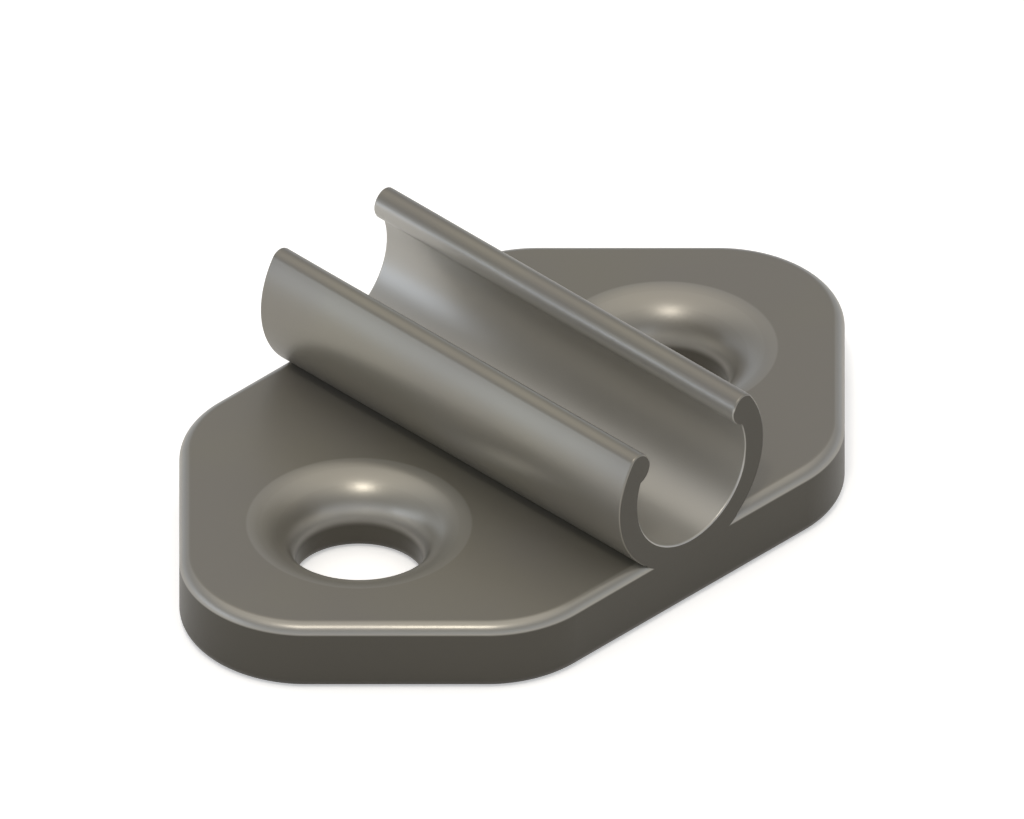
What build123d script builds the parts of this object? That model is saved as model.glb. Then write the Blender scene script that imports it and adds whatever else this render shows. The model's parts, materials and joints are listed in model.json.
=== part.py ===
"""Cable mounting clip, one solid piece, in millimetres.

A flat six-sided plate with two screw holes carries an open round channel across its middle.
A cable is pressed in from above and held under the two lips of the channel.
The origin is the centre of the plate's underside: X runs from screw to screw, Y along the cable.
"""

import os
from math import cos, radians, tan

from build123d import *

# Base plate
plate_thickness = 3.0
plate_width = 20.0  # along the cable, and so the length of the channel too
tip_reach = 10.0  # from a screw's centre to the tip beside it, before the tip is rounded
flank_angle = 45.0  # between a sloping flank and the X axis
corner_radius = 5.0  # tips and shoulders, seen from above
rim_radius = 0.5  # upper and lower rims, and the lower rims of the holes

# Screw holes
hole_spacing = 17.0
hole_diameter = 5.0
hole_land = 0.5  # straight wall of a hole, between its bell mouth and its lower rim

# Cable channel
bore_diameter = 6.0
channel_wall = 1.0
arm_angle = 30.0  # where an arm ends, seen from the cable's centre and counted from level
lip_height = 0.225  # how far a lip stands into the bore

# Plan of the plate
tip_x = hole_spacing / 2 + tip_reach
shoulder_y = plate_width / 2
shoulder_x = tip_x - shoulder_y / tan(radians(flank_angle))
plan_corners = [
    (tip_x, 0),
    (shoulder_x, shoulder_y),
    (-shoulder_x, shoulder_y),
    (-tip_x, 0),
    (-shoulder_x, -shoulder_y),
    (shoulder_x, -shoulder_y),
]

# The bell mouth of a hole takes up the plate above the straight wall
bell_radius = plate_thickness - rim_radius - hole_land

# Section of the channel, seen along the cable, with the bottom of the bore level with the plate's top
bore_radius = bore_diameter / 2
outer_radius = bore_radius + channel_wall
axis_height = plate_thickness + bore_radius
section_plane = Plane(origin=(0, 0, axis_height), x_dir=(1, 0, 0), z_dir=(0, -1, 0))

# Lips, centred on the middle of the wall, and the full round that turns them into the outside
half_wall = channel_wall / 2
lip_radius = half_wall + lip_height
lip_blend_radius = half_wall
lip_centre_radius = bore_radius + half_wall
lip_places = PolarLocations(
    lip_centre_radius,
    count=2,
    start_angle=arm_angle,
    angular_range=180 - 2 * arm_angle,
    endpoint=True,
)

# Wedge that is open between the arms, taller than the channel
wedge_height = 2 * outer_radius
wedge_half_width = wedge_height / tan(radians(arm_angle))
wedge_corners = [
    (0, 0),
    (wedge_half_width, wedge_height),
    (-wedge_half_width, wedge_height),
]

with BuildPart() as clip:
    # Plate with rounded tips and shoulders
    with BuildSketch() as plan:
        with BuildLine():
            Polyline(*plan_corners, close=True)
        make_face()
        fillet(plan.vertices(), corner_radius)
    extrude(amount=plate_thickness)

    # Screw holes, their bell mouths, and the rounded rims of the plate
    with GridLocations(hole_spacing, 0, 2, 1):
        Hole(hole_diameter / 2)
    upper_face = clip.faces().sort_by(Axis.Z)[-1]
    fillet(upper_face.inner_wires().edges(), bell_radius)
    upper_face = clip.faces().sort_by(Axis.Z)[-1]
    fillet(upper_face.outer_wire().edges(), rim_radius)
    lower_face = clip.faces().sort_by(Axis.Z)[0]
    fillet(lower_face.edges(), rim_radius)

    # Rod for the channel, open between the arms, with a round lip on the end of each arm
    with BuildSketch(section_plane) as section:
        Circle(outer_radius)
        with BuildLine():
            Polyline(*wedge_corners, close=True)
        make_face(mode=Mode.SUBTRACT)
        with lip_places:
            Circle(lip_radius)
        Circle(outer_radius, mode=Mode.INTERSECT)
        lip_corners = section.vertices().sort_by(Axis.Y)[-2:]
        fillet(lip_corners, lip_blend_radius)
    extrude(amount=plate_width / 2, both=True)

    # Bore for the cable, cut past both ends and round the lips, which stand into it
    with BuildSketch(section_plane):
        Circle(bore_radius)
        with lip_places:
            Circle(lip_radius, mode=Mode.SUBTRACT)
    extrude(amount=plate_width, both=True, mode=Mode.SUBTRACT)

clip.part.label = "clip"

os.makedirs("parts", exist_ok=True)
export_step(clip.part, "parts/clip.step")

lip_gap = 2 * (lip_centre_radius * cos(radians(arm_angle)) - lip_radius)
print(f"gap between the lips {lip_gap:.2f} mm, volume {clip.part.volume:.1f} mm3")
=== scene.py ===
"""Cable mounting clip in bead-blasted steel, in a plain pale studio.

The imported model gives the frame. The clip is built again in its place from its own sizes, by two node trees
and three modifiers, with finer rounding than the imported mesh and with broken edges, and then dressed and lit.
"""

import json
import math

import bpy
from bpy.props import FloatProperty, FloatVectorProperty, IntProperty, PointerProperty
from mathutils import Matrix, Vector


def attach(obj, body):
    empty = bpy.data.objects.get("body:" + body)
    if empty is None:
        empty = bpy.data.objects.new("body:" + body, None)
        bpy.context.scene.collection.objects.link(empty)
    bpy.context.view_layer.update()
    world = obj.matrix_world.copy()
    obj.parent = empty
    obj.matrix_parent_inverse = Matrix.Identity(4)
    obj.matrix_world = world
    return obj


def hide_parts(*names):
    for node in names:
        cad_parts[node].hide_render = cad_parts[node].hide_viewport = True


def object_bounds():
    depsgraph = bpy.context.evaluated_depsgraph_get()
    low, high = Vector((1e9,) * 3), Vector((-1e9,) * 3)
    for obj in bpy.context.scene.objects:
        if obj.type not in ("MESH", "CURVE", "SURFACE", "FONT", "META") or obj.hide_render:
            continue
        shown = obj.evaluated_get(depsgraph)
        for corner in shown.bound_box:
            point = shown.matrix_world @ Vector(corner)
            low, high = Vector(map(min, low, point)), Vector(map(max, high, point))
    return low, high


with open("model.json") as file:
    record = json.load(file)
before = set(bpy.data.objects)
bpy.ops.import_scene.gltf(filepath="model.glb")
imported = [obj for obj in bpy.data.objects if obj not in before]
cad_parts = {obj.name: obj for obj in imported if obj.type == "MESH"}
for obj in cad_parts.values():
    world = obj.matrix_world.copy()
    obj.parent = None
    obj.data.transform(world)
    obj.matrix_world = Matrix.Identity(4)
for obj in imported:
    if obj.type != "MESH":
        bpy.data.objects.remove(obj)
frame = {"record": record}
cad_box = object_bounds()

bl_info = {
    "name": "Cable Mounting Clip",
    "version": (1, 0, 0),
    "blender": (4, 5, 0),
    "location": "3D Viewport > Sidebar > Clip",
    "description": "Builds a steel cable mounting clip and a plain studio round it",
    "category": "Add Mesh",
}

MM = 0.001

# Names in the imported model
NODE = "clip"
BODY = "root"

# Sizes that other things fit to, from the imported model's mounts
mounts = {mount["name"]: mount for mount in frame["record"]["mounts"]}
channel_mount = mounts["cable_channel"]
holes_mount = mounts["screw_holes"]

# Points nearer to each other than this are one point, in metres
WELD = 1e-6

# Faces that meet at a wider angle than this meet in an edge
EDGE_ANGLE = math.radians(30)

# A point counts as lying on a wall or face that is this near, as a share of the size that places the wall
NEAR = 0.01

# The edge attribute that the Bevel modifier reads
BEVEL_WEIGHT = "bevel_weight_edge"

# The picture is a parallel view, equally steep along all three axes
VIEW_BACK = Vector((-1, -1, 1)).normalized()
VIEW_TURN = math.atan2(VIEW_BACK.y, VIEW_BACK.x)
VIEW_DISTANCE = 400 * MM
PICTURE_WIDTH = 1024
PIXELS_PER_MM = 25.44

# The floor lies a hair below the clip, so that the two flat faces don't share one plane
FLOOR_GAP = 0.02 * MM


def linear(hex_colour):
    """An sRGB hex value such as #6F6B61 as linear red, green and blue."""
    parts = [int(hex_colour[i : i + 2], 16) / 255 for i in (1, 3, 5)]
    return [p / 12.92 if p <= 0.04045 else ((p + 0.055) / 1.055) ** 2.4 for p in parts]


def length(name, millimetres, description):
    """A property for a length, with its default in millimetres."""
    return FloatProperty(
        name=name,
        description=description,
        default=millimetres * MM,
        min=0,
        precision=5,
        subtype="DISTANCE",
        unit="LENGTH",
    )


def angle(name, degrees, description):
    """A property for an angle, with its default in degrees."""
    return FloatProperty(
        name=name,
        description=description,
        default=math.radians(degrees),
        subtype="ANGLE",
        unit="ROTATION",
    )


def colour(name, hex_colour, description):
    """A property for a colour, with its default as an sRGB hex value."""
    return FloatVectorProperty(
        name=name,
        description=description,
        default=linear(hex_colour),
        min=0,
        max=1,
        subtype="COLOR",
    )


def share(name, default, description):
    """A property for a number from 0 to 1."""
    return FloatProperty(
        name=name,
        description=description,
        default=default,
        min=0,
        max=1,
        subtype="FACTOR",
    )


def brightness(name, default, description):
    """A property for a brightness, where 1 shows as white."""
    return FloatProperty(name=name, description=description, default=default, min=0)


def steps(name, default, description):
    """A property for how finely a rounding is divided."""
    return IntProperty(name=name, description=description, default=default, min=4)


class ClipSizes(bpy.types.PropertyGroup):
    """Sizes of the clip."""

    plate_thickness: length("Plate Thickness", 3, "From the underside to the upper face")
    plate_width: length("Plate Width", channel_mount["dims"]["length_mm"], "Along the cable")
    tip_reach: length("Tip Reach", 10, "From a screw's centre to the tip beside it, before rounding")
    flank_angle: angle("Flank Angle", 45, "Between a sloping flank and the line through the screws")
    corner_radius: length("Corner Radius", 5, "Rounding of tips and shoulders, seen from above")
    rim_radius: length("Rim Radius", 0.5, "Rounding of the plate's rims and the holes' lower rims")
    hole_spacing: length("Hole Spacing", holes_mount["dims"]["spacing_x_mm"], "From screw to screw")
    hole_radius: length("Hole Radius", holes_mount["dims"]["hole_r_mm"], "Radius of a screw hole")
    hole_land: length("Hole Land", 0.5, "Straight wall between a hole's bell mouth and its lower rim")
    bore_radius: length("Bore Radius", channel_mount["dims"]["r_mm"], "Radius of the cable's channel")
    bore_height: length("Bore Height", channel_mount["pos_m"][2] / MM, "Height of the channel's axis")
    channel_wall: length("Channel Wall", 1, "Thickness of the channel's wall")
    arm_angle: angle("Arm Angle", 30, "Where the channel's arms end, counted from level")
    lip_height: length("Lip Height", 0.225, "How far a lip stands into the bore")
    edge_break: length("Edge Break", 0.06, "How far the edges of the channel's ends are broken")
    corner_steps: steps("Corner Steps", 32, "Points on each rounded corner of the plan")
    round_steps: steps("Round Steps", 128, "Points round each screw hole and along the channel's arcs")
    lip_steps: steps("Lip Steps", 24, "Points on each arc of a lip")
    rim_steps: steps("Rim Steps", 16, "Facets across each rounded rim and bell mouth")


class SteelFinish(bpy.types.PropertyGroup):
    """Colours and grain of the steel."""

    blasted: colour("Blasted Faces", "#8E8A7F", "Bead-blasted steel")
    cloud: colour("Clouds", "#8A867E", "Faint clouds in the blasted faces")
    # Painted shade: a darker grey on sideways and downward faces of the plate and on the channel's ends
    cut: colour("Painted Wall Shade", "#4D4A43", "Steel on the plate's sides and underside and on the channel's ends")
    # Painted light: a paler grey in the bore, the bell mouths and on the plate's upper rim
    painted_light_and_polish: colour("Painted Light", "#C8C6C0", "Steel that is rubbed bright")
    cloud_size: length("Cloud Size", 7, "Width of a cloud")
    grain_size: length("Grain Size", 0.16, "Width of a dimple")
    grain_depth: length("Grain Depth", 0.004, "Depth of a dimple")
    blasted_roughness: share("Blasted Roughness", 0.36, "Roughness of the blasted and cut faces")
    burnished_roughness: share("Burnished Roughness", 0.31, "Roughness of the burnished faces")
    # Shares of the painted light and smoothing: bore, bell mouths below and above a screw's head, upper rim
    bore_painted_light: share("Bore Painted Light", 0.6, "How far the bore is rubbed bright by the cable")
    throat_painted_light: share("Throat Painted Light", 0.6, "How far the bell mouths are rubbed bright below a screw's head")
    mouth_painted_light: share("Mouth Painted Light", 0.2, "How far the bell mouths are rubbed bright above a screw's head")
    rim_painted_light: share("Rim Painted Light", 0.24, "How far the plate's upper rim is rubbed bright by fingers")
    metallic: share("Metallic", 0.65, "Share of the light that is mirrored; the rest scatters in the dimples")


class StudioLook(bpy.types.PropertyGroup):
    """Floor, room and lamps."""

    floor: colour("Floor", "#FAFAFA", "Pale floor")
    floor_width: length("Floor Width", 3000, "Side of the square floor")
    floor_glow: brightness("Floor Glow", 0.43, "White that the camera sees on top of the lit floor")
    mirrored_glow: brightness("Mirrored Glow", 0.13, "White that the steel mirrors on top of the lit floor")
    low_light: colour("Low Light", "#E2EDFF", "Light from low down")
    high_light: colour("High Light", "#FFF9EF", "Light from overhead")
    horizon: brightness("Horizon", 0.9, "Brightness of the room low down")
    wall: brightness("Wall", 0.42, "Brightness of the room half way up")
    ceiling: brightness("Ceiling", 1.05, "Brightness of the room overhead")
    lamp_distance: length("Lamp Distance", 500, "From the clip to each lamp")
    key: brightness("Key Lamp", 60, "Brightness of the small high lamp")
    key_turn: angle("Key Turn", -8, "From the camera's side, anticlockwise seen from above")
    key_height: angle("Key Height", 61, "Above level")
    key_width: length("Key Width", 50, "Side of the small high lamp")
    strip: brightness("Strip Lamp", 1, "Brightness of the long low lamp")
    strip_turn: angle("Strip Turn", -80, "From the camera's side, anticlockwise seen from above")
    strip_height: angle("Strip Height", 8, "Above level")
    strip_width: length("Strip Width", 500, "Level side of the long low lamp")
    strip_depth: length("Strip Depth", 200, "Upright side of the long low lamp")


def add_node(tree, kind, inputs=None, **settings):
    """Adds a node with its settings and inputs, which are named, or numbered where names repeat.

    An input is a value, a socket to link, or a list of sockets where the node joins several.
    """
    node = tree.nodes.new(kind)
    node.location.x = 200 * len(tree.nodes)
    for name, value in settings.items():
        setattr(node, name, value)
    for name, value in (inputs or {}).items():
        socket = next(s for i, s in enumerate(node.inputs) if s.enabled and name in (i, s.name, s.identifier))
        for source in value if isinstance(value, list) else [value]:
            if isinstance(source, bpy.types.NodeSocket):
                tree.links.new(source, socket)
            else:
                socket.default_value = source
    return node


def new_tree(name, sizes):
    """A geometry tree that takes a mesh and the named sizes, with the sockets of its input node."""
    tree = bpy.data.node_groups.new(name, "GeometryNodeTree")
    for in_out in ("INPUT", "OUTPUT"):
        tree.interface.new_socket("Geometry", in_out=in_out, socket_type="NodeSocketGeometry")
    for size, value in sizes.items():
        kind = {int: "NodeSocketInt", float: "NodeSocketFloat"}.get(type(value), "NodeSocketMaterial")
        tree.interface.new_socket(size, in_out="INPUT", socket_type=kind)
    return tree, add_node(tree, "NodeGroupInput").outputs


def finish_tree(tree, geometry, material):
    """Ends a tree in Realize Instances and Set Material."""
    real = add_node(tree, "GeometryNodeRealizeInstances", {"Geometry": geometry})
    dressed = add_node(tree, "GeometryNodeSetMaterial", {"Geometry": real.outputs[0], "Material": material})
    add_node(tree, "NodeGroupOutput", {"Geometry": dressed.outputs[0]})


def apply_tree(piece, tree, sizes):
    """Puts a tree on a piece and sets its inputs by their identifiers."""
    modifier = piece.modifiers.new(tree.name, "NODES")
    modifier.node_group = tree
    for item in tree.interface.items_tree:
        if item.in_out == "INPUT" and item.name in sizes:
            modifier[item.identifier] = sizes[item.name]


def apply_bevel(piece, name, width, segments):
    """Rounds the edges of a piece, each by its own share of the width."""
    bevel = piece.modifiers.new(name, "BEVEL")
    bevel.limit_method = "WEIGHT"
    bevel.width = width
    bevel.segments = segments
    bevel.loop_slide = False
    bevel.use_clamp_overlap = False


def raise_face(tree, face, height):
    """Turns a flat face into a closed solid by raising it along its normal, and gives its mesh."""
    raised = add_node(
        tree,
        "GeometryNodeExtrudeMesh",
        {"Mesh": face, "Offset Scale": height, "Individual": False},
    )
    base = add_node(tree, "GeometryNodeFlipFaces", {"Mesh": face})
    both = add_node(tree, "GeometryNodeJoinGeometry", {"Geometry": [raised.outputs["Mesh"], base.outputs[0]]})
    welded = add_node(tree, "GeometryNodeMergeByDistance", {"Geometry": both.outputs[0], "Distance": WELD})
    return welded.outputs[0]


def plate_tree(sizes):
    """Plate with square rims and two screw holes, made from the six sharp corners of its plan.

    Each rim has a bevel weight, which is its share of the widest rounding, that of the bell mouths.
    """
    tree, size = new_tree("Plate", sizes)

    # Plan with rounded corners
    plan = add_node(tree, "GeometryNodeMeshToCurve", {"Mesh": size["Geometry"]})
    rounded = add_node(
        tree,
        "GeometryNodeFilletCurve",
        {
            "Curve": plan.outputs[0],
            "Count": size["Corner Steps"],
            "Radius": size["Corner Radius"],
            "Limit Radius": False,
        },
        mode="POLY",
    )

    # The same hole on both sides of the channel
    first = add_node(tree, "ShaderNodeMath", {0: size["Hole Spacing"], 1: -0.5}, operation="MULTIPLY")
    start = add_node(tree, "ShaderNodeCombineXYZ", {"X": first.outputs[0]})
    step = add_node(tree, "ShaderNodeCombineXYZ", {"X": size["Hole Spacing"]})
    places = add_node(
        tree,
        "GeometryNodeMeshLine",
        {"Count": 2, "Start Location": start.outputs[0], "Offset": step.outputs[0]},
    )
    circle = add_node(
        tree,
        "GeometryNodeCurvePrimitiveCircle",
        {"Resolution": size["Hole Steps"], "Radius": size["Hole Radius"]},
    )
    holes = add_node(
        tree,
        "GeometryNodeInstanceOnPoints",
        {"Points": places.outputs[0], "Instance": circle.outputs[0]},
    )
    real_holes = add_node(tree, "GeometryNodeRealizeInstances", {"Geometry": holes.outputs[0]})
    outlines = add_node(
        tree,
        "GeometryNodeJoinGeometry",
        {"Geometry": [rounded.outputs[0], real_holes.outputs[0]]},
    )
    face = add_node(tree, "GeometryNodeFillCurve", {"Curve": outlines.outputs[0]}, mode="NGONS")
    blank = raise_face(tree, face.outputs[0], size["Thickness"])

    # A bell mouth's edge lies on a hole's wall, above the middle of the plate
    position = add_node(tree, "GeometryNodeInputPosition")
    place = add_node(tree, "ShaderNodeSeparateXYZ", {0: position.outputs[0]}).outputs
    middle = add_node(tree, "ShaderNodeMath", {0: size["Thickness"], 1: 0.5}, operation="MULTIPLY")
    upper = add_node(tree, "FunctionNodeCompare", {0: place["Z"], 1: middle.outputs[0]})
    outward = add_node(tree, "ShaderNodeMath", {0: place["X"]}, operation="ABSOLUTE")
    aside = add_node(tree, "ShaderNodeMath", {0: outward.outputs[0], 1: first.outputs[0]}, operation="ADD")
    from_screw = add_node(tree, "ShaderNodeCombineXYZ", {"X": aside.outputs[0], "Y": place["Y"]})
    distance = add_node(tree, "ShaderNodeVectorMath", {0: from_screw.outputs[0]}, operation="LENGTH")
    reach = add_node(tree, "ShaderNodeMath", {0: size["Hole Radius"], 1: 1 + NEAR}, operation="MULTIPLY")
    at_hole = add_node(
        tree,
        "FunctionNodeCompare",
        {0: distance.outputs["Value"], 1: reach.outputs[0]},
        operation="LESS_THAN",
    )
    bell = add_node(tree, "FunctionNodeBooleanMath", {0: upper.outputs[0], 1: at_hole.outputs[0]})
    weight = add_node(
        tree,
        "GeometryNodeSwitch",
        {"Switch": bell.outputs[0], "False": size["Rim Share"], "True": 1.0},
        input_type="FLOAT",
    )

    # A rim is an edge between faces that meet square; the facets of a round wall turn far less
    turn = add_node(tree, "GeometryNodeInputMeshEdgeAngle").outputs
    rim = add_node(tree, "FunctionNodeCompare", {0: turn["Unsigned Angle"], 1: EDGE_ANGLE})
    weighted = add_node(
        tree,
        "GeometryNodeStoreNamedAttribute",
        {"Geometry": blank, "Selection": rim.outputs[0], "Name": BEVEL_WEIGHT, "Value": weight.outputs[0]},
        data_type="FLOAT",
        domain="EDGE",
    )
    finish_tree(tree, weighted.outputs[0], size["Material"])
    return tree


def channel_tree(sizes):
    """Channel swept along the cable from its section, and joined to the plate that comes in.

    Each outline of the channel's ends has a bevel weight of 1.
    """
    tree, size = new_tree("Channel", sizes)

    # Outside and bore: arcs round the bottom that end on both sides at the same angle above level
    section = []
    for radius, end in (("Outer Radius", "Outer End"), ("Bore Radius", "Bore End")):
        start = add_node(tree, "ShaderNodeMath", {0: math.pi, 1: size[end]}, operation="SUBTRACT")
        sweep = add_node(tree, "ShaderNodeMath", {0: size[end], 1: 2.0, 2: math.pi}, operation="MULTIPLY_ADD")
        arc = add_node(
            tree,
            "GeometryNodeCurveArc",
            {
                "Resolution": size["Round Steps"],
                "Radius": size[radius],
                "Start Angle": start.outputs[0],
                "Sweep Angle": sweep.outputs[0],
            },
        )
        section.append(arc.outputs["Curve"])

    # Lip and its rounding: arcs drawn on the middle line of the wall, at level, and turned up with the arm
    out = add_node(tree, "ShaderNodeCombineXYZ", {"X": size["Lip Centre Radius"]})
    for name, turned in (("Lip", "Arm Angle"), ("Blend", "Outer End")):
        arc = add_node(
            tree,
            "GeometryNodeCurveArc",
            {
                "Resolution": size["Lip Steps"],
                "Radius": size[f"{name} Radius"],
                "Start Angle": size[f"{name} Start"],
                "Sweep Angle": size[f"{name} Sweep"],
            },
        )
        moved = add_node(
            tree,
            "GeometryNodeTransform",
            {"Geometry": arc.outputs["Curve"], "Translation": out.outputs[0]},
        )
        up = add_node(tree, "ShaderNodeCombineXYZ", {"Z": size[turned]})
        one_arm = add_node(
            tree,
            "GeometryNodeTransform",
            {"Geometry": moved.outputs[0], "Rotation": up.outputs[0]},
        )
        other_arm = add_node(
            tree,
            "GeometryNodeTransform",
            {"Geometry": one_arm.outputs[0], "Scale": (-1, 1, 1)},
        )
        section += [one_arm.outputs[0], other_arm.outputs[0]]

    # The arcs share their ends, so that they weld into one closed outline
    arcs = add_node(tree, "GeometryNodeJoinGeometry", {"Geometry": section})
    lines = add_node(tree, "GeometryNodeCurveToMesh", {"Curve": arcs.outputs[0]})
    welded = add_node(tree, "GeometryNodeMergeByDistance", {"Geometry": lines.outputs[0], "Distance": WELD})
    closed = add_node(tree, "GeometryNodeMeshToCurve", {"Mesh": welded.outputs[0]})
    face = add_node(tree, "GeometryNodeFillCurve", {"Curve": closed.outputs[0]}, mode="NGONS")

    # Stood up at the far end of the channel, it faces the near end
    half_length = add_node(tree, "ShaderNodeMath", {0: size["Length"], 1: 0.5}, operation="MULTIPLY")
    far_end = add_node(tree, "ShaderNodeCombineXYZ", {"Y": half_length.outputs[0], "Z": size["Axis Height"]})
    standing = add_node(
        tree,
        "GeometryNodeTransform",
        {
            "Geometry": face.outputs[0],
            "Translation": far_end.outputs[0],
            "Rotation": (math.pi / 2, 0, 0),
        },
    )
    channel = raise_face(tree, standing.outputs[0], size["Length"])
    whole = add_node(
        tree,
        "GeometryNodeMeshBoolean",
        {"Mesh 2": [size["Geometry"], channel]},
        operation="UNION",
        solver="EXACT",
    )

    # Edges to break: the outlines of both ends, down to where arm and plate leave no room for a tool
    position = add_node(tree, "GeometryNodeInputPosition")
    place = add_node(tree, "ShaderNodeSeparateXYZ", {0: position.outputs[0]}).outputs
    along = add_node(tree, "ShaderNodeMath", {0: place["Y"]}, operation="ABSOLUTE")
    nearly = add_node(tree, "ShaderNodeMath", {0: half_length.outputs[0], 1: 1 - NEAR}, operation="MULTIPLY")
    at_end = add_node(tree, "FunctionNodeCompare", {0: along.outputs[0], 1: nearly.outputs[0]})
    clear = add_node(tree, "FunctionNodeCompare", {0: place["Z"], 1: size["Clear Height"]})
    turn = add_node(tree, "GeometryNodeInputMeshEdgeAngle").outputs
    convex = add_node(tree, "FunctionNodeCompare", {0: turn["Signed Angle"], 1: EDGE_ANGLE})
    outline = add_node(tree, "FunctionNodeBooleanMath", {0: at_end.outputs[0], 1: convex.outputs[0]})
    broken = add_node(tree, "FunctionNodeBooleanMath", {0: outline.outputs[0], 1: clear.outputs[0]})
    weighted = add_node(
        tree,
        "GeometryNodeStoreNamedAttribute",
        {"Geometry": whole.outputs["Mesh"], "Name": BEVEL_WEIGHT, "Value": broken.outputs[0]},
        data_type="FLOAT",
        domain="EDGE",
    )

    # Round faces look round and edges stay crisp
    smooth = add_node(tree, "GeometryNodeSetShadeSmooth", {"Geometry": weighted.outputs[0]}, domain="FACE")
    edge = add_node(tree, "FunctionNodeCompare", {0: turn["Unsigned Angle"], 1: EDGE_ANGLE})
    crisp = add_node(
        tree,
        "GeometryNodeSetShadeSmooth",
        {"Geometry": smooth.outputs[0], "Selection": edge.outputs[0], "Shade Smooth": False},
        domain="EDGE",
    )
    finish_tree(tree, crisp.outputs[0], size["Material"])
    return tree


def plan_corners(sizes):
    """The six sharp corners of the plate's plan."""
    tip = sizes.hole_spacing / 2 + sizes.tip_reach
    half_width = sizes.plate_width / 2
    shoulder = tip - half_width / math.tan(sizes.flank_angle)
    one_side = [(tip, 0, 0), (shoulder, half_width, 0), (-shoulder, half_width, 0)]
    return one_side + [(-x, -y, 0) for x, y, _ in one_side]


def bell_radius(sizes):
    """A bell mouth takes up the plate above its hole's straight wall."""
    return sizes.plate_thickness - sizes.rim_radius - sizes.hole_land


def channel_section(sizes):
    """Radii and angles of the arcs that make the channel's section.

    A lip and its rounding are centred on the middle line of the wall. The rounding touches the outside and
    the lip from within, and the lip meets the bore in a sharp hollow line.
    """
    half_wall = sizes.channel_wall / 2
    middle = sizes.bore_radius + half_wall
    lip = half_wall + sizes.lip_height
    blend_turn = 2 * math.asin((lip - half_wall) / 2 / middle)
    hollow_at_lip = math.acos((middle**2 + lip**2 - sizes.bore_radius**2) / (2 * middle * lip))
    hollow_at_axis = math.acos((middle**2 + sizes.bore_radius**2 - lip**2) / (2 * middle * sizes.bore_radius))
    lip_start = (math.pi + blend_turn) / 2
    return {
        "Outer Radius": sizes.bore_radius + sizes.channel_wall,
        "Outer End": sizes.arm_angle + blend_turn,
        "Bore Radius": sizes.bore_radius,
        "Bore End": sizes.arm_angle - hollow_at_axis,
        "Lip Centre Radius": middle,
        "Arm Angle": sizes.arm_angle,
        "Lip Radius": lip,
        "Lip Start": lip_start,
        "Lip Sweep": math.pi - lip_start + hollow_at_lip,
        "Blend Radius": half_wall,
        "Blend Start": 0.0,
        "Blend Sweep": lip_start - blend_turn,
    }


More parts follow.
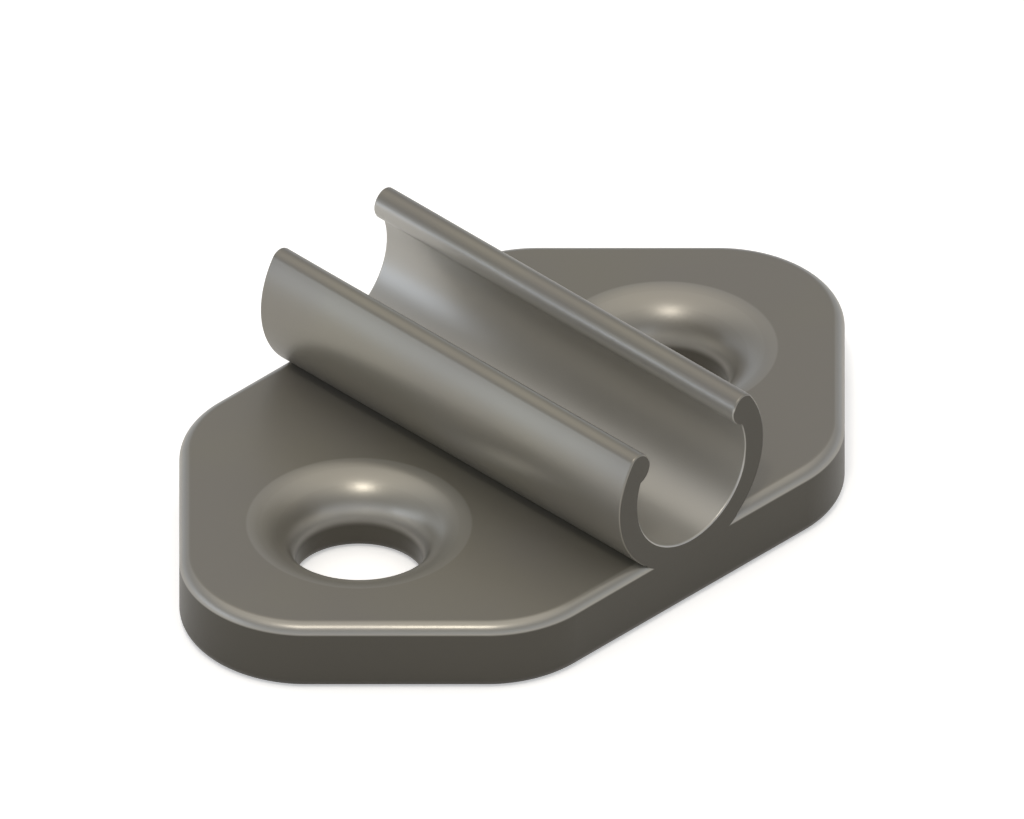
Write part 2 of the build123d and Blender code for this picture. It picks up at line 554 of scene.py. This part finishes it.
def bead_blasted_steel(finish, sizes):
    """Cast stainless steel, bead-blasted all over, with painted shade on its sides, ends and underside, and
    painted light in the bore, the bell mouths and on the upper rim.

    The blast leaves fine dimples without a direction, so highlights are soft and round, and its passes leave
    broad, faint clouds. Where the plate's sides and underside and the channel's ends face sideways or down,
    they get a darker, flatter grey as painted shade. The bore, the bell mouths and the upper rim get a paler
    grey as painted light, and a little less roughness: most in the ring of each bell mouth where a screw's
    head sits, less along the bore and below the ring, and least above the ring and on the upper rim.

    Clean blasted steel is all metal, with a roughness of about 0.4. Both are matched to the object from
    there: the dimples scatter a third of the light, and handling has taken some of the roughness off.
    """
    material = bpy.data.materials.new("bead_blasted_steel")
    material.use_nodes = True
    tree = material.node_tree
    surface = add_node(tree, "ShaderNodeTexCoord").outputs
    place = add_node(tree, "ShaderNodeSeparateXYZ", {0: surface["Object"]}).outputs
    facing = add_node(tree, "ShaderNodeSeparateXYZ", {0: surface["Normal"]}).outputs

    # Distances from the bore's axis and from the nearer screw's axis
    above_axis = add_node(tree, "ShaderNodeMath", {0: place["Z"], 1: sizes.bore_height}, operation="SUBTRACT")
    in_section = add_node(tree, "ShaderNodeCombineXYZ", {"X": place["X"], "Y": above_axis.outputs[0]})
    from_bore = add_node(tree, "ShaderNodeVectorMath", {0: in_section.outputs[0]}, operation="LENGTH")
    outward = add_node(tree, "ShaderNodeMath", {0: place["X"]}, operation="ABSOLUTE")
    aside = add_node(
        tree,
        "ShaderNodeMath",
        {0: outward.outputs[0], 1: sizes.hole_spacing / 2},
        operation="SUBTRACT",
    )
    in_plan = add_node(tree, "ShaderNodeCombineXYZ", {"X": aside.outputs[0], "Y": place["Y"]})
    from_screw = add_node(tree, "ShaderNodeVectorMath", {0: in_plan.outputs[0]}, operation="LENGTH")

    # Radii and levels where the finish changes. A screw's head sits a third of the way up the bell mouth
    bell = bell_radius(sizes)
    mouth = sizes.hole_radius + bell
    inside_mouth = mouth - 0.06 * bell
    foot = sizes.plate_thickness - bell
    below_head = foot + 0.1 * bell
    head = foot + 0.3 * bell
    above_head = foot + 0.6 * bell
    in_wall = 1.02 * sizes.bore_radius
    deep_in_wall = 1.08 * sizes.bore_radius
    rim_start = sizes.plate_thickness - 1.1 * sizes.rim_radius
    on_rim = sizes.plate_thickness - 0.8 * sizes.rim_radius

    # The finishes fade into each other over these ranges: what is measured, from, to, value there and there
    lengthwise = add_node(tree, "ShaderNodeMath", {0: facing["Y"]}, operation="ABSOLUTE")
    fades = {
        "not_upward": (facing["Z"], 0.05, 0.25, 1, 0),
        "end": (lengthwise.outputs[0], 0.5, 0.9, 0, 1),
        # Fades that place the painted light in the bore, the bell mouths and on the upper rim
        "bore": (from_bore.outputs["Value"], in_wall, deep_in_wall, finish.bore_painted_light, 0),
        "bell": (from_screw.outputs["Value"], inside_mouth, mouth, 1, 0),
        "below_seat": (place["Z"], below_head, head, finish.throat_painted_light, 1),
        "above_seat": (place["Z"], head, above_head, 1, finish.mouth_painted_light),
        "rim": (place["Z"], rim_start, on_rim, 0, 1),
        "not_level": (facing["Z"], 0.95, 1, finish.rim_painted_light, 0),
    }
    part = {}
    for name, (measured, low, high, at_low, at_high) in fades.items():
        fade = add_node(
            tree,
            "ShaderNodeMapRange",
            {"Value": measured, "From Min": low, "From Max": high, "To Min": at_low, "To Max": at_high},
            interpolation_type="SMOOTHSTEP",
        )
        part[name] = fade.outputs["Result"]
    just_above_plate = sizes.plate_thickness + 0.01 * MM
    on_plate = add_node(tree, "ShaderNodeMath", {0: place["Z"], 1: just_above_plate}, operation="LESS_THAN")
    part["plate"] = on_plate.outputs[0]

    # Where shade is painted on the walls and ends, and how far light is painted on, with smoother steel
    sums = (
        ("side", "MAXIMUM", "end", "plate"),
        # Painted shade on the sideways and downward faces of the plate and the channel's ends
        ("cut", "MULTIPLY", "side", "not_upward"),
        ("seat", "MULTIPLY", "below_seat", "above_seat"),
        ("bell_painted_light", "MULTIPLY", "bell", "seat"),
        ("whole_rim", "MULTIPLY", "rim", "plate"),
        ("upper_rim_painted_light", "MULTIPLY", "whole_rim", "not_level"),
        ("plate_painted_light", "MAXIMUM", "bell_painted_light", "upper_rim_painted_light"),
        # Painted light, with smoother steel, in the bore, the bell mouths and on the upper rim
        ("painted_light_and_polish", "MAXIMUM", "bore", "plate_painted_light"),
    )
    for name, operation, one, other in sums:
        both = add_node(tree, "ShaderNodeMath", {0: part[one], 1: part[other]}, operation=operation)
        part[name] = both.outputs[0]

    # Colour: blasted with clouds, painted light over that, and painted shade last. Most of the noise lies in
    # the middle of its range, so the clouds take only that
    cloud_start, cloud_full = 0.35, 0.65
    clouds = add_node(
        tree,
        "ShaderNodeTexNoise",
        {"Vector": surface["Object"], "Scale": 1 / finish.cloud_size, "Detail": 2},
    )
    cloudy = add_node(
        tree,
        "ShaderNodeMapRange",
        {"Value": clouds.outputs[0], "From Min": cloud_start, "From Max": cloud_full},
        interpolation_type="SMOOTHSTEP",
    )
    tone = finish.blasted
    layers = (
        (cloudy.outputs["Result"], finish.cloud),
        # Painted light over the bore, the bell mouths and the upper rim
        (part["painted_light_and_polish"], finish.painted_light_and_polish),
        # Painted shade, laid last
        (part["cut"], finish.cut),
    )
    for amount, layer in layers:
        below = tone if isinstance(tone, bpy.types.NodeSocket) else (*tone, 1)
        over = add_node(
            tree,
            "ShaderNodeMix",
            {"Factor": amount, "A": below, "B": (*layer, 1)},
            data_type="RGBA",
        )
        tone = over.outputs["Result"]

    # Roughness, a little uneven with the clouds and less where light is painted on
    uneven = 0.03
    dull = add_node(
        tree,
        "ShaderNodeMapRange",
        {
            "Value": cloudy.outputs["Result"],
            "To Min": finish.blasted_roughness - uneven,
            "To Max": finish.blasted_roughness + uneven,
        },
    )
    roughness = add_node(
        tree,
        "ShaderNodeMath",
        {
            0: part["painted_light_and_polish"],
            1: finish.burnished_roughness - finish.blasted_roughness,
            2: dull.outputs["Result"],
        },
        operation="MULTIPLY_ADD",
    )

    # Dimples of the blast. Real ones are about 0.05 mm wide, and are drawn three times as wide to show
    grain = add_node(
        tree,
        "ShaderNodeTexNoise",
        {"Vector": surface["Object"], "Scale": 1 / finish.grain_size, "Detail": 1},
    )
    dimples = add_node(
        tree,
        "ShaderNodeBump",
        {"Strength": 0.5, "Distance": finish.grain_depth, "Height": grain.outputs[0]},
    )
    shader = tree.nodes["Principled BSDF"]
    shader.inputs["Metallic"].default_value = finish.metallic
    tree.links.new(tone, shader.inputs["Base Color"])
    tree.links.new(roughness.outputs[0], shader.inputs["Roughness"])
    tree.links.new(dimples.outputs[0], shader.inputs["Normal"])
    return material


def matt_painted_board(look):
    """Board with matt white paint, lit evenly.

    A glow on top of the lit paint takes it past white for the camera, so that only the dark shadow beside the
    clip shows. The steel mirrors a fainter glow, and is shown a board that is just white.
    """
    material = bpy.data.materials.new("matt_painted_board")
    material.use_nodes = True
    tree = material.node_tree
    tree.nodes.clear()
    path = add_node(tree, "ShaderNodeLightPath").outputs
    mirrored = add_node(
        tree,
        "ShaderNodeMath",
        {0: path["Is Glossy Ray"], 1: path["Is Transmission Ray"]},
        operation="MAXIMUM",
    )
    faint = add_node(
        tree,
        "ShaderNodeMath",
        {0: mirrored.outputs[0], 1: look.mirrored_glow},
        operation="MULTIPLY",
    )
    glow = add_node(
        tree,
        "ShaderNodeMath",
        {0: path["Is Camera Ray"], 1: look.floor_glow, 2: faint.outputs[0]},
        operation="MULTIPLY_ADD",
    )
    paint = add_node(tree, "ShaderNodeBsdfDiffuse", {"Color": (*look.floor, 1)})
    white = add_node(tree, "ShaderNodeEmission", {"Strength": glow.outputs[0]})
    both = add_node(tree, "ShaderNodeAddShader", {0: paint.outputs[0], 1: white.outputs[0]})
    add_node(tree, "ShaderNodeOutputMaterial", {"Surface": both.outputs[0]})

    # The glow is only seen and mirrored, and is not a lamp for the clip
    material.cycles.emission_sampling = "NONE"
    return material


def pale_room(look):
    """World that is bright overhead and low down and greyer half way up, as in a room with white lamps.

    It changes between the heights given below, which are 0 at the horizon and 1 overhead.
    """
    world = bpy.data.worlds.new("pale_room")
    world.use_nodes = True
    tree = world.node_tree
    direction = add_node(tree, "ShaderNodeTexCoord").outputs["Generated"]
    up = add_node(tree, "ShaderNodeSeparateXYZ", {0: direction}).outputs["Z"]
    zones = []
    for low, high, at_low, at_high in (
        (0.2, 0.45, look.horizon, look.wall),
        (0.55, 0.9, 0, look.ceiling - look.wall),
    ):
        zone = add_node(
            tree,
            "ShaderNodeMapRange",
            {"Value": up, "From Min": low, "From Max": high, "To Min": at_low, "To Max": at_high},
            interpolation_type="SMOOTHSTEP",
        )
        zones.append(zone.outputs["Result"])
    strength = add_node(tree, "ShaderNodeMath", {0: zones[0], 1: zones[1]}, operation="ADD")
    tint = add_node(
        tree,
        "ShaderNodeMix",
        {"Factor": up, "A": (*look.low_light, 1), "B": (*look.high_light, 1)},
        data_type="RGBA",
    )
    background = tree.nodes["Background"]
    tree.links.new(tint.outputs["Result"], background.inputs["Color"])
    tree.links.new(strength.outputs[0], background.inputs["Strength"])
    return world


def towards(turn, height):
    """A direction of length 1, from its turn off the camera's side and its height above level."""
    azimuth = VIEW_TURN + turn
    across = math.cos(height)
    return Vector((across * math.cos(azimuth), across * math.sin(azimuth), math.sin(height)))


def add_lamp(scene, name, strength, tint, width, depth, aim, back):
    """A rectangular lamp that stands back from aim and looks at it, as bright as its strength in a mirror."""
    lamp = bpy.data.lights.new(name, "AREA")
    lamp.shape = "RECTANGLE"
    lamp.size = width
    lamp.size_y = depth
    lamp.color = tint
    lamp.energy = strength * math.pi * width * depth
    holder = bpy.data.objects.new(name, lamp)
    holder.location = aim + back
    holder.rotation_euler = back.to_track_quat("Z", "Y").to_euler()
    scene.collection.objects.link(holder)


class CABLECLIP_OT_make_clip(bpy.types.Operator):
    """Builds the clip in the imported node's place"""

    bl_idname = "cable_clip.make_clip"
    bl_label = "Make the Clip"

    def execute(self, context):
        sizes = context.scene.clip_sizes
        steel = bead_blasted_steel(context.scene.clip_finish, sizes)
        corners = plan_corners(sizes)
        plan = bpy.data.meshes.new("plan")
        plan.from_pydata(corners, [(i, (i + 1) % len(corners)) for i in range(len(corners))], [])
        sketch = bpy.data.objects.new("plan", plan)
        context.scene.collection.objects.link(sketch)

        plate = {
            "Corner Radius": sizes.corner_radius,
            "Corner Steps": sizes.corner_steps,
            "Thickness": sizes.plate_thickness,
            "Hole Spacing": sizes.hole_spacing,
            "Hole Radius": sizes.hole_radius,
            "Hole Steps": sizes.round_steps,
            "Rim Share": sizes.rim_radius / bell_radius(sizes),
            "Material": steel,
        }
        channel = {
            **channel_section(sizes),
            "Axis Height": sizes.bore_height,
            "Length": sizes.plate_width,
            "Clear Height": (1 - NEAR) * sizes.plate_thickness,
            "Round Steps": sizes.round_steps,
            "Lip Steps": sizes.lip_steps,
            "Material": steel,
        }
        apply_tree(sketch, plate_tree(plate), plate)
        apply_bevel(sketch, "Rims", bell_radius(sizes), segments=sizes.rim_steps)
        apply_tree(sketch, channel_tree(channel), channel)
        apply_bevel(sketch, "Broken Edges", sizes.edge_break, segments=2)
        sketch.modifiers.new("Flat Faces Look Flat", "WEIGHTED_NORMAL").keep_sharp = True

        evaluated = sketch.evaluated_get(context.evaluated_depsgraph_get())
        mesh = bpy.data.meshes.new_from_object(evaluated)
        mesh.name = "steel_clip"
        bpy.data.objects.remove(sketch)
        if not mesh.polygons:
            raise RuntimeError("the clip came out without faces")
        clip = bpy.data.objects.new("steel_clip", mesh)
        context.scene.collection.objects.link(clip)
        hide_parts(NODE)
        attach(clip, BODY)
        return {"FINISHED"}


class CABLECLIP_OT_make_studio(bpy.types.Operator):
    """Builds the floor, the room, the lamps and the camera"""

    bl_idname = "cable_clip.make_studio"
    bl_label = "Make the Studio"

    def execute(self, context):
        scene = context.scene
        look = scene.clip_studio
        low, high = cad_box
        aim = (low + high) / 2

        half = look.floor_width / 2
        board = bpy.data.meshes.new("floor")
        plan = [(-half, -half), (half, -half), (half, half), (-half, half)]
        corners = [(x, y, -FLOOR_GAP) for x, y in plan]
        board.from_pydata(corners, [], [(0, 1, 2, 3)])
        board.materials.append(matt_painted_board(look))
        floor = bpy.data.objects.new("floor", board)
        scene.collection.objects.link(floor)

        scene.world = pale_room(look)
        back = towards(look.key_turn, look.key_height) * look.lamp_distance
        add_lamp(scene, "key", look.key, look.high_light, look.key_width, look.key_width, aim, back)
        back = towards(look.strip_turn, look.strip_height) * look.lamp_distance
        add_lamp(scene, "strip", look.strip, look.low_light, look.strip_width, look.strip_depth, aim, back)

        lens = bpy.data.cameras.new("camera")
        lens.type = "ORTHO"
        lens.ortho_scale = PICTURE_WIDTH / PIXELS_PER_MM * MM
        camera = bpy.data.objects.new("camera", lens)
        camera.location = aim + VIEW_BACK * VIEW_DISTANCE
        camera.rotation_euler = VIEW_BACK.to_track_quat("Z", "Y").to_euler()
        scene.collection.objects.link(camera)
        scene.camera = camera
        scene.view_settings.view_transform = "Standard"
        return {"FINISHED"}


class CABLECLIP_PT_panel(bpy.types.Panel):
    """Lists the sizes and finishes, and what is made from them"""

    bl_idname = "CABLECLIP_PT_panel"
    bl_label = "Cable Mounting Clip"
    bl_space_type = "VIEW_3D"
    bl_region_type = "UI"
    bl_category = "Clip"

    def draw(self, context):
        scene = context.scene
        for groups, operator in (
            ((scene.clip_sizes, scene.clip_finish), CABLECLIP_OT_make_clip),
            ((scene.clip_studio,), CABLECLIP_OT_make_studio),
        ):
            box = self.layout.box()
            for group in groups:
                for name in group.__annotations__:
                    box.prop(group, name)
            box.operator(operator.bl_idname)


CLASSES = (
    ClipSizes,
    SteelFinish,
    StudioLook,
    CABLECLIP_OT_make_clip,
    CABLECLIP_OT_make_studio,
    CABLECLIP_PT_panel,
)


def register():
    for cls in CLASSES:
        bpy.utils.register_class(cls)
    bpy.types.Scene.clip_sizes = PointerProperty(type=ClipSizes)
    bpy.types.Scene.clip_finish = PointerProperty(type=SteelFinish)
    bpy.types.Scene.clip_studio = PointerProperty(type=StudioLook)


def unregister():
    del bpy.types.Scene.clip_studio
    del bpy.types.Scene.clip_finish
    del bpy.types.Scene.clip_sizes
    for cls in reversed(CLASSES):
        bpy.utils.unregister_class(cls)


def main():
    register()
    bpy.ops.cable_clip.make_clip()
    bpy.ops.cable_clip.make_studio()


if __name__ == "__main__":
    main()
